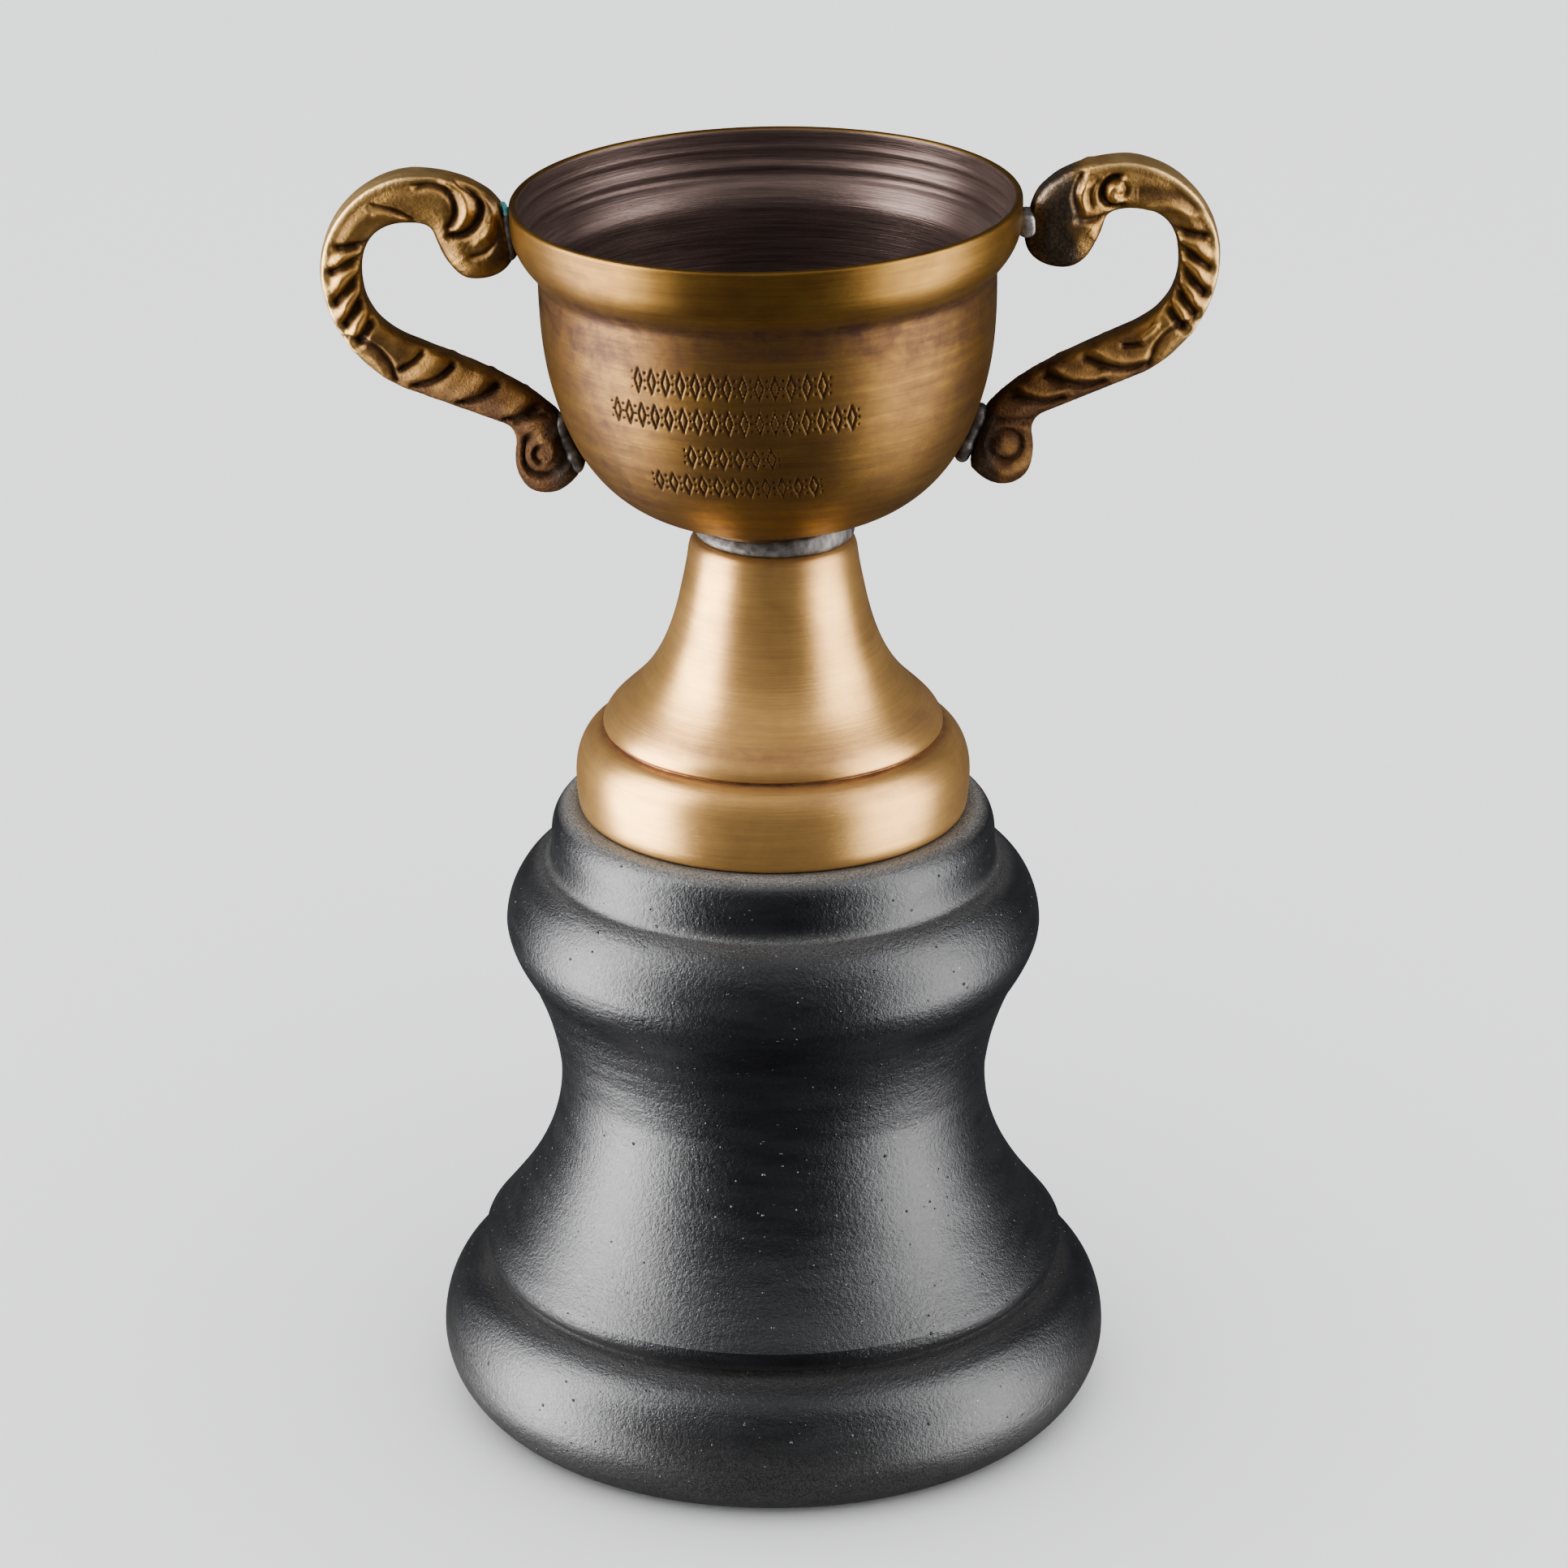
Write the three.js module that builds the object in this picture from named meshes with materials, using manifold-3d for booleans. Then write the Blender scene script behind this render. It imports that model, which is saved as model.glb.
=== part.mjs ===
// Two-handled brass trophy cup, soldered to a spun foot that is tied down on a turned wooden base.
// Millimetres, +Z up. The origin is the centre of the felt's underside, where the trophy stands.
// The handles lie along X, and the decorated side of the cup faces -Y.
import * as THREE from 'three';
import { mergeVertices } from 'three/addons/utils/BufferGeometryUtils.js';
import Module from 'manifold-3d';

const wasm = await Module();
wasm.setup();

// ---- driving dimensions ----
const roundSides = 32; // facets round a turned piece
const curveSteps = 5; // straight steps along each curved stretch of an outline
const joint = 0.3; // clearance between pieces that touch

const feltThickness = 0.7;
const feltRadius = 35.4;
const baseBottom = feltThickness + joint;
const baseTop = 76.8;
const bottomRollRadius = 40.6;
const lipRadius = 35.3; // over the groove
const waistRadius = 25.75;
const upperRollRadius = 32.1;
const collarRadius = 26.6;
const boreRadius = 2.8;
const counterboreRadius = 9;
const counterboreDepth = 8;

const footSheet = 0.8;
const footBottom = baseTop + joint;
const footTop = 110.8;
const bandRadius = 23.5;

const solderThickness = 1;
const neckSolderRadius = 9.2;
const cupBottom = footTop + solderThickness + 2 * joint;
const cupSheet = 0.95;
const cupBossRadius = 8.9;
const wallRadius = 26.6;
const rimRadius = 29.65;
const rimHeight = 151.3;
const cupLean = THREE.MathUtils.degToRad(1.2); // the cup was soldered on tilting towards -X

const crownHeight = 155.8; // top of the handles
const bowReach = 51.9; // furthest out, from the axis of the cup
const rightShift = 0.45; // the handles weren't soldered on equally far out
const leftShift = -0.25;
const handleDepth = 4.6;
const handleEdge = 1.4; // rounding of the handle's long edges
const handleSolder = 0.6; // thickness of the solder between cup and handle

const rodRadius = 2; // M4 rod
const rodOverhang = 1; // rod showing past each nut
const threadGap = 0.2;
const nutAcrossCorners = 8.1;
const nutHeight = 3.2;
const washerRadius = 6;
const washerThickness = 1;
const strapHeight = 82;
const strapWidth = 9;
const strapThickness = 1.2;
const strapHalfLength = 21.4;
const strapFillet = 3; // leg of the solder fillet under each end of the strap
const filletEdge = 0.5;

// ---- materials ----
const finish = (color, roughness, metalness) => ({ color, roughness, metalness });
const cupBrass = finish(0x9a7038, 0.38, 1);
const footBrass = finish(0xb08a52, 0.3, 1);
const castBronze = finish(0x7a5a30, 0.45, 1);
const solder = finish(0x77736f, 0.5, 1);
const steel = finish(0x8d8f92, 0.35, 1);
const blackWood = finish(0x1b1c1e, 0.5, 0);
const blackFelt = finish(0x141414, 0.95, 0);

// ---- building blocks ----

// Points along an outline: each stretch is [x, y], a straight line, or the six numbers of a
// cubic curve.
function outline(start, stretches) {
  const path = new THREE.Path().moveTo(...start);
  for (const stretch of stretches) {
    if (stretch.length === 2) path.lineTo(...stretch);
    else path.bezierCurveTo(...stretch);
  }
  return path.getPoints(curveSteps);
}

// The same outline moved sideways; a positive distance is to the left of its direction.
function offset(points, distance) {
  return points.map((point, i) => {
    const before = points[Math.max(i - 1, 0)];
    const after = points[Math.min(i + 1, points.length - 1)];
    const along = after.clone().sub(before).normalize();
    return new THREE.Vector2(point.x - along.y * distance, point.y + along.x * distance);
  });
}

// A piece turned about Z from points (radius, height) that run anticlockwise.
function turned(points) {
  return new THREE.LatheGeometry(points, roundSides).rotateX(Math.PI / 2);
}

function ring(inner, outer, bottom, top) {
  const corners = [[inner, bottom], [outer, bottom], [outer, top], [inner, top], [inner, bottom]];
  return turned(corners.map((corner) => new THREE.Vector2(...corner)));
}

function disc(radius, bottom, top) {
  const height = top - bottom;
  const geometry = new THREE.CylinderGeometry(radius, radius, height, roundSides);
  return geometry.rotateX(Math.PI / 2).translate(0, 0, bottom + height / 2);
}

function solid(geometry) {
  const bare = geometry.clone();
  bare.deleteAttribute('normal');
  bare.deleteAttribute('uv');
  const merged = mergeVertices(bare);
  const corners = merged.index.array;
  const triVerts = [];
  for (let i = 0; i < corners.length; i += 3) {
    const [a, b, c] = corners.slice(i, i + 3);
    if (a !== b && b !== c && c !== a) triVerts.push(a, b, c);
  }
  const vertProperties = new Float32Array(merged.attributes.position.array);
  return new wasm.Manifold(
    new wasm.Mesh({ numProp: 3, vertProperties, triVerts: new Uint32Array(triVerts) }),
  );
}

function geometryOf(manifold) {
  const { vertProperties, triVerts } = manifold.getMesh();
  const geometry = new THREE.BufferGeometry();
  geometry.setAttribute('position', new THREE.BufferAttribute(vertProperties, 3));
  geometry.setIndex(new THREE.BufferAttribute(triVerts, 1));
  return geometry;
}

const cut = (geometry, tool) => geometryOf(solid(geometry).subtract(solid(tool)));
const common = (a, b) => geometryOf(solid(a).intersect(solid(b)));

function piece(name, geometry, look) {
  const mesh = new THREE.Mesh(geometry, new THREE.MeshStandardMaterial(look));
  mesh.name = name;
  return mesh;
}

// ---- wooden base, one turning with a bore for the rod and a counterbore for its nut ----
function woodenBase() {
  const counterboreTop = baseBottom + counterboreDepth;
  return turned(outline([boreRadius, counterboreTop], [
    [counterboreRadius, counterboreTop],
    [counterboreRadius, baseBottom],
    [36.9, baseBottom],
    [38.9, 2.3, bottomRollRadius, 5.2, bottomRollRadius, 8],
    [bottomRollRadius, 13, 38, 16.8, 33.6, 17.1], // into the groove
    [34.6, 18, lipRadius, 19, lipRadius, 20.5],
    [31.5, 25.2, 25.3, 32.5, waistRadius, 43], // bell
    [26.2, 47, 27.3, 51, 29.2, 55],
    [30.4, 57, 31.9, 59.2, upperRollRadius, 61.8],
    [upperRollRadius, 65.6, 29.6, 68.9, 27.6, 69.6],
    [26.8, 69.8, collarRadius, 71.2, collarRadius, 73], // collar under the foot
    [collarRadius, 75.2, 25.6, baseTop, 24, baseTop],
    [boreRadius, baseTop],
    [boreRadius, counterboreTop],
  ]));
}

// ---- brass foot, spun from one sheet and open below ----
function foot() {
  const outside = outline([23.1, footBottom], [
    [23.4, 78.4, bandRadius, 79.6, bandRadius, 81], // bottom band
    [bandRadius, 84.2, 22, 86.4, 19.8, 86.6],
    [20.4, 87, 20.3, 87.8, 19.5, 88.8], // lip of the cone
    [17.2, 91.6, 13.2, 93, 11, 103.5], // cone
    [10.6, 105.4, 10.2, 107.2, 10, 109],
    [9.8, 110.2, 9.4, footTop, 8.3, footTop],
    [0, footTop],
  ]);
  const inside = offset(outside, footSheet).reverse();
  inside[0].set(0, footTop - footSheet);
  inside[inside.length - 1].y = footBottom;
  return turned([...outside, ...inside, outside[0]]);
}

// ---- cup, spun from one sheet with a rolled collar ----
function cupOutside() {
  return outline([0, cupBottom], [
    [8.5, cupBottom],
    [cupBossRadius, cupBottom + 0.4],
    [cupBossRadius, 113.7],
    [14.5, 114.4, 21.3, 116.8, 24.6, 127.3], // belly
    [26, 131.6, wallRadius, 135.4, wallRadius, 142.9],
    [27, 144.4, 28.6, 145, 29.4, 147.8], // collar
    [29.6, 148.8, rimRadius, 150, rimRadius, rimHeight],
  ]);
}

function cup() {
  const outside = cupOutside();
  const inside = offset(outside, cupSheet).reverse();
  inside[inside.length - 1].x = 0;
  const lip = rimRadius - cupSheet / 2;
  const half = cupSheet / 2;
  const rim = [1, 2, 3].map((step) => {
    const turn = (step * Math.PI) / 4;
    return new THREE.Vector2(lip + half * Math.cos(turn), rimHeight + half * Math.sin(turn));
  });
  return turned([...outside, ...rim, ...inside]);
}

// The space taken by the cup and a clearance round it.
function cupWithClearance(clearance) {
  const outside = offset(cupOutside(), -clearance);
  const above = rimHeight + 10;
  outside[0].x = 0;
  const lid = [new THREE.Vector2(rimRadius + clearance, above), new THREE.Vector2(0, above)];
  return turned([...outside, ...lid]);
}

// ---- cast handle, drawn flat: x outwards from the axis of the cup, y up ----
function handleShape() {
  return new THREE.Shape(outline([29.9, 149], [
    [30.1, 153.2, 35.3, crownHeight, 40.5, crownHeight], // crown
    [46.3, crownHeight, bowReach, 150.6, bowReach, 144], // bow, outer side
    [bowReach, 138.4, 48.3, 132.5, 42.9, 129.9],
    [31.4, 125.3], // lower arm, outer side
    [30.3, 124.9, 29.9, 123.8, 30, 122.6],
    [30.6, 119.6, 29.6, 116.6, 26.6, 116.6], // scroll
    [25, 116.6, 23.8, 117.6, 22.8, 118.8],
    [23, 121.4, 24, 124.2, 25, 126.1],
    [29.2, 130.6, 35.2, 132.7, 41.4, 135.5], // lower arm, inner side
    [45, 137, 47.1, 139.6, 47.1, 143.4], // bow, inner side
    [47.1, 147.9, 45.1, 149.8, 41.5, 149.8],
    [40.2, 149.8, 39, 149.6, 38.6, 148.6],
    [37.8, 146, 36.4, 142.9, 33.9, 142.9], // volute
    [31.6, 142.9, 29.7, 144, 29.3, 146],
  ]));
}

function handle(shift) {
  const geometry = new THREE.ExtrudeGeometry(handleShape(), {
    depth: handleDepth - 2 * handleEdge,
    bevelEnabled: true,
    bevelThickness: handleEdge,
    bevelSize: handleEdge,
    bevelOffset: -handleEdge,
    bevelSegments: 2,
  });
  geometry.rotateX(Math.PI / 2).translate(shift, handleDepth / 2 - handleEdge, 0);
  return cut(geometry, cupWithClearance(handleSolder + 2 * joint));
}

// Solder between the cup's wall and a handle: the part of the joint within a radius of its centre.
function handleSolderPad(height, radius) {
  const shell = cut(cupWithClearance(joint + handleSolder), cupWithClearance(joint));
  const reach = new THREE.CylinderGeometry(radius, radius, 40, 16);
  reach.rotateZ(Math.PI / 2).translate(30, 0, height);
  return common(shell, reach);
}

// ---- hardware inside the foot and the base ----
function nut(bottom) {
  const blank = new THREE.CylinderGeometry(nutAcrossCorners / 2, nutAcrossCorners / 2, nutHeight, 6);
  blank.rotateX(Math.PI / 2).translate(0, 0, bottom + nutHeight / 2);
  return cut(blank, disc(rodRadius + threadGap, bottom - 1, bottom + nutHeight + 1));
}

function crossStrap() {
  const bar = new THREE.BoxGeometry(2 * strapHalfLength, strapWidth, strapThickness);
  bar.translate(0, 0, strapHeight + strapThickness / 2);
  return cut(bar, disc(rodRadius + joint, strapHeight - 1, strapHeight + strapThickness + 1));
}

// Fillet of solder under one end of the strap, against the foot's wall.
function strapSolder() {
  const wall = strapHalfLength + joint;
  const top = strapHeight - joint;
  const bottom = top - strapFillet;
  const fillet = new THREE.Shape().moveTo(wall - strapFillet, top);
  fillet.quadraticCurveTo(wall - filletEdge, top - filletEdge, wall - filletEdge, bottom);
  fillet.lineTo(wall, bottom);
  fillet.lineTo(wall, top);
  fillet.closePath();
  const width = strapWidth - strapFillet;
  const options = { depth: width, bevelEnabled: false, curveSegments: 4 };
  const geometry = new THREE.ExtrudeGeometry(fillet, options);
  return geometry.rotateX(Math.PI / 2).translate(0, width / 2, 0);
}

// ---- assembly ----
const group = new THREE.Group();

group.add(piece('felt_pad', disc(feltRadius, 0, feltThickness), blackFelt));
group.add(piece('wooden_base', woodenBase(), blackWood));
group.add(piece('foot', foot(), footBrass));

const neckTop = footTop + joint + solderThickness;
group.add(piece('neck_solder', disc(neckSolderRadius, footTop + joint, neckTop), solder));

// Everything on the cup leans with it about the neck.
const leaning = new THREE.Group();
leaning.position.z = cupBottom;
leaning.rotation.y = -cupLean;
const upright = new THREE.Group();
upright.position.z = -cupBottom;
leaning.add(upright);
group.add(leaning);

upright.add(piece('cup', cup(), cupBrass));
for (const [side, turn, shift] of [['right', 0, rightShift], ['left', Math.PI, leftShift]]) {
  const parts = [
    piece(`${side}_handle`, handle(shift), castBronze),
    piece(`${side}_upper_solder`, handleSolderPad(148.2, 2.4), solder),
    piece(`${side}_lower_solder`, handleSolderPad(122.4, 2.2), solder),
  ];
  for (const part of parts) part.rotation.z = turn;
  upright.add(...parts);
}

const washerBottom = baseBottom + counterboreDepth - joint - washerThickness;
const lowerNutBottom = washerBottom - joint - nutHeight;
const upperNutBottom = strapHeight + strapThickness + joint;
const rodTop = upperNutBottom + nutHeight + rodOverhang;
const washer = ring(rodRadius + joint, washerRadius, washerBottom, washerBottom + washerThickness);
group.add(piece('base_washer', washer, steel));
group.add(piece('base_nut', nut(lowerNutBottom), steel));
group.add(piece('tie_rod', disc(rodRadius, lowerNutBottom - rodOverhang, rodTop), steel));
group.add(piece('strap_nut', nut(upperNutBottom), steel));
group.add(piece('cross_strap', crossStrap(), footBrass));
for (const [side, turn] of [['right', 0], ['left', Math.PI]]) {
  const fillet = piece(`${side}_strap_solder`, strapSolder(), solder);
  fillet.rotation.z = turn;
  group.add(fillet);
}

export default group;
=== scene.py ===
"""Looks of the two-handled trophy cup: spun brass cup and foot, cast handles, soft solder and a black
turned base. Shapes are worked out in millimetres in the CAD frame and stored in metres."""

import math

import bpy
import numpy as np
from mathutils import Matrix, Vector


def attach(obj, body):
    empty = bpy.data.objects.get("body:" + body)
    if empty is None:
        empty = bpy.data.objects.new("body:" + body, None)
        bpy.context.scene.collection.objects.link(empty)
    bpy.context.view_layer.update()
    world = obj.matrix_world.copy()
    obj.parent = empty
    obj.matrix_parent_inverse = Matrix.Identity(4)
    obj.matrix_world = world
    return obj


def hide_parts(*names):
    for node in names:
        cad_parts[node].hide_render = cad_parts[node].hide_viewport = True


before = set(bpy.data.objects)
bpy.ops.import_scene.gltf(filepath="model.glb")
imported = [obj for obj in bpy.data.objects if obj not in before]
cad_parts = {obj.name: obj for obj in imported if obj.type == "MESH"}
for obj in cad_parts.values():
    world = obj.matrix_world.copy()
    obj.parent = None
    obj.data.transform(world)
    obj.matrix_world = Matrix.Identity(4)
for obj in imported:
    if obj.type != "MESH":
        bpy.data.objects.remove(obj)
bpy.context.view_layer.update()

MM = 0.001

# ---- dimensions shared with the CAD model, in millimetres ----
BASE_TOP = 76.8
FOOT_TOP = 110.8
NECK = 112.4  # underside of the cup, the point about which it leans
CUP_SHEET = 0.95
FOOT_SHEET = 0.8
BOTTOM_ROLL = 40.6  # radii of the base, the foot and the cup
LIP = 35.3
WAIST = 25.75
UPPER_ROLL = 32.1
BASE_COLLAR = 26.6
BAND = 23.5
WALL = 26.6
RIM_RADIUS = 29.65
RIM_HEIGHT = 151.3
CUP_LEAN = math.radians(1.2)
CROWN_HEIGHT = 155.8  # top of the handles
BOW_REACH = 51.9  # furthest out, from the axis of the cup
HANDLE_SHIFT = {1: 0.45, -1: -0.25}  # how far further out each handle was soldered on, right and left

FRONT = -math.pi / 2  # direction of -Y, as an angle about Z

# ---- studio ----
FLOOR_LIGHT = 1.15  # strength of the surroundings where they light the floor
GLOSS_LIGHT = 0.085  # and where they show in the gloss of the trophy
CAMERA_PLACE = (1.3, -674.6, 352.7)
CAMERA_TILT = math.radians(67.9)  # 0 looks straight down
FOCAL_LENGTH = 139.75
SENSOR_WIDTH = 36


# ---- outlines ----
def outline(start, stretches, step=0.5):
    """Points about step apart along straight lines (2 numbers) and cubic curves (6 numbers)."""
    points = [np.array(start, float)]
    for stretch in stretches:
        corners = np.vstack([points[-1], np.array(stretch, float).reshape(-1, 2)])
        length = np.linalg.norm(np.diff(corners, axis=0), axis=1).sum()
        t = np.linspace(0, 1, max(2, math.ceil(length / step) + 1))[1:, None]
        if len(corners) == 2:
            new = corners[0] + t * (corners[1] - corners[0])
        else:
            a, b, c, d = corners
            new = (1 - t) ** 3 * a + 3 * (1 - t) ** 2 * t * b + 3 * (1 - t) * t**2 * c + t**3 * d
        points.extend(new)
    return np.array(points)


def sideways(points):
    """Unit vectors to the right of an outline's direction: outwards, on one that runs anticlockwise."""
    along = np.gradient(points, axis=0)
    along /= np.linalg.norm(along, axis=1, keepdims=True)
    return np.column_stack([along[:, 1], -along[:, 0]])


def smooth_curve(points, per_span):
    """A Catmull-Rom curve through the points."""
    p = np.array(points, float)
    p = np.vstack([2 * p[0] - p[1], p, 2 * p[-1] - p[-2]])
    t = np.linspace(0, 1, per_span, endpoint=False)[:, None]
    spans = []
    for a, b, c, d in zip(p, p[1:], p[2:], p[3:]):
        bend = (2 * a - 5 * b + 4 * c - d) * t**2 + (3 * b - a - 3 * c + d) * t**3
        spans.append(0.5 * (2 * b + (c - a) * t + bend))
    return np.vstack([*spans, p[-2]])


def ease(low, high, x):
    """0 below low, 1 above high, smooth between."""
    t = np.clip((np.asarray(x, float) - low) / (high - low), 0, 1)
    return t * t * (3 - 2 * t)


def near(x, centre, width):
    """1 at the centre, fading out over about the width on both sides."""
    return np.exp(-((x - centre) / width) ** 2)


def ripple(*coordinates, seed=0, waves=5):
    """Smooth, repeatable unevenness from -1 to 1 out of a few sine waves."""
    rng = np.random.default_rng(seed)
    total = 0
    for _ in range(waves):
        phase = rng.uniform(0, 2 * math.pi)
        for coordinate in coordinates:
            phase = phase + rng.uniform(0.5, 1.6) * coordinate
        total = total + np.sin(phase)
    return total / waves


# ---- meshes ----
def object_from(name, points, faces, attributes=None, sharp=40):
    """A smooth-shaded object from points in millimetres, with one float or vector attribute per name."""
    mesh = bpy.data.meshes.new(name)
    mesh.from_pydata((np.asarray(points, float) * MM).tolist(), [], faces)
    mesh.validate()
    mesh.polygons.foreach_set("use_smooth", [True] * len(mesh.polygons))
    mesh.set_sharp_from_angle(angle=math.radians(sharp))
    for key, values in (attributes or {}).items():
        values = np.asarray(values, np.float32)
        if values.ndim == 2:
            layer = mesh.attributes.new(key, "FLOAT_VECTOR", "POINT")
            layer.data.foreach_set("vector", values.ravel())
        else:
            layer = mesh.attributes.new(key, "FLOAT", "POINT")
            layer.data.foreach_set("value", values)
    made = bpy.data.objects.new(name, mesh)
    bpy.context.scene.collection.objects.link(made)
    return made


def place(made, look, slot, *nodes):
    """Gives a piece its material and ties it to the CAD model."""
    made.data.materials.clear()
    made.data.materials.append(look)
    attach(made, "root")
    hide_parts(*nodes)


def leaning(points):
    """Points of the upright cup, leaned towards -X about the neck."""
    p = np.asarray(points, float)
    x, up = p[:, 0], p[:, 2] - NECK
    c, s = math.cos(CUP_LEAN), math.sin(CUP_LEAN)
    return np.column_stack([x * c - up * s, p[:, 1], NECK + x * s + up * c])


def ring_faces(rings, across, loop=False, flipped=False):
    """Quads between neighbouring rings of points; in a loop the last ring meets the first."""
    index = np.arange(rings * across).reshape(-1, across)
    lower = index if loop else index[:-1]
    upper = np.roll(index, -1, 0) if loop else index[1:]
    corners = [lower, np.roll(lower, -1, 1), np.roll(upper, -1, 1), upper]
    if flipped:
        corners = [lower, upper, np.roll(upper, -1, 1), np.roll(lower, -1, 1)]
    return np.stack(corners, -1).reshape(-1, 4).tolist()


def pole_faces(first, across, pole, flipped=False):
    """Triangles between a ring, from its first point on, and the point on the axis that closes it."""
    ring = np.arange(first, first + across)
    pairs = zip(ring.tolist(), np.roll(ring, -1).tolist())
    return [[pole, b, a] if flipped else [pole, a, b] for a, b in pairs]


def turned(name, profile, angles, shape=None, masks=None, move=None, plan=None):
    """A piece turned about Z. Its profile runs anticlockwise round the section, from axis to axis or as a
    loop. shape(radius, height, angle) is how far each point stands out of it, masks gives attributes, move
    shifts the finished points and plan(radius, angle) changes the radius of a piece that isn't round."""
    profile = np.asarray(profile, float)
    poles = profile[0, 0] < 1e-6 and profile[-1, 0] < 1e-6
    rings = profile[1:-1] if poles else profile[:-1]
    around = profile if poles else np.vstack([profile[-2], profile])
    out = sideways(around)[1:-1]
    travelled = np.concatenate([[0], np.cumsum(np.linalg.norm(np.diff(rings, axis=0), axis=1))])
    radius, angle = np.meshgrid(rings[:, 0], angles, indexing="ij")
    height = np.repeat(rings[:, 1:], len(angles), 1)
    layers = masks(radius, height, angle) if masks else {}
    if plan:
        radius = plan(radius, angle)
    if shape:
        push = shape(radius, height, angle)
        radius = radius + push * out[:, :1]
        height = height + push * out[:, 1:]
    points = np.stack([radius * np.cos(angle), radius * np.sin(angle), height], -1).reshape(-1, 3)
    distance = np.repeat(travelled, len(angles))
    layers = {key: values.reshape(len(points), -1) for key, values in layers.items()}
    layers["lathe"] = np.column_stack([points[:, :2], distance])
    across = len(angles)
    faces = ring_faces(len(rings), across, loop=not poles)
    if poles:
        count = len(points)
        faces += pole_faces(0, across, count, flipped=True)
        faces += pole_faces(count - across, across, count + 1)
        points = np.vstack([points, [0, 0, profile[0, 1]], [0, 0, profile[-1, 1]]])
        layers = {key: np.vstack([values, values[0], values[-1]]) for key, values in layers.items()}
    layers = {key: values[:, 0] if values.shape[1] == 1 else values for key, values in layers.items()}
    return object_from(name, move(points) if move else points, faces, layers)


def round_steps(count):
    """Angles of a full turn in even steps."""
    return np.linspace(0, 2 * math.pi, count, endpoint=False)


# ---- material nodes ----
def node(tree, kind, inputs=None, **settings):
    """A shader node; an input that is given a socket is linked, any other is set."""
    made = tree.nodes.new("ShaderNode" + kind)
    for key, value in settings.items():
        setattr(made, key, value)
    for key, value in (inputs or {}).items():
        if isinstance(value, bpy.types.NodeSocket):
            tree.links.new(value, made.inputs[key])
        else:
            made.inputs[key].default_value = value
    return made


def maths(tree, operation, *values, clamp=False):
    made = node(tree, "Math", dict(enumerate(values)), operation=operation, use_clamp=clamp)
    return made.outputs[0]


def scaled(tree, value, factor, offset, clamp=False):
    """value times factor plus offset, each of them a number or a socket."""
    return maths(tree, "MULTIPLY_ADD", value, factor, offset, clamp=clamp)


def mix_colours(tree, factor, first, second):
    """The first colour where factor is 0 and the second where it is 1."""
    first, second = (c if isinstance(c, bpy.types.NodeSocket) else (*c, 1) for c in (first, second))
    return node(tree, "Mix", {0: factor, 6: first, 7: second}, data_type="RGBA").outputs[2]


def ramp(tree, value, *stops):
    """A grey ramp: stops are (position, grey level)."""
    made = node(tree, "ValToRGB", {"Fac": value})
    elements = made.color_ramp.elements
    while len(elements) < len(stops):
        elements.new(0.5)
    for element, (position, level) in zip(elements, stops):
        element.position = position
        element.color = (level, level, level, 1)
    return made.outputs["Color"]


def noise(tree, vector, scale, detail, roughness, stretch=(1, 1, 1), distortion=0.0):
    """Noise with features about 1/scale mm across, stretched by dividing its scale along each axis."""
    if stretch != (1, 1, 1):
        finer = [1 / s for s in stretch]
        vector = node(tree, "VectorMath", {0: vector, 1: finer}, operation="MULTIPLY").outputs[0]
    inputs = {"Vector": vector, "Scale": scale, "Detail": detail}
    inputs.update({"Roughness": roughness, "Distortion": distortion})
    return node(tree, "TexNoise", inputs).outputs["Fac"]


def attribute(tree, name, output="Fac"):
    return node(tree, "Attribute", attribute_name=name).outputs[output]


def bump(tree, height, depth, normal=None):
    """depth in millimetres."""
    inputs = {"Height": height, "Strength": 1.0, "Distance": depth * MM}
    if normal:
        inputs["Normal"] = normal
    return node(tree, "Bump", inputs).outputs[0]


def new_material(name):
    look = bpy.data.materials.new(name)
    look.use_nodes = True
    tree = look.node_tree
    tree.nodes.clear()
    return look, tree


def finish_material(tree, inputs):
    shader = node(tree, "BsdfPrincipled", inputs)
    output = tree.nodes.new("ShaderNodeOutputMaterial")
    tree.links.new(shader.outputs[0], output.inputs[0])


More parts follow.
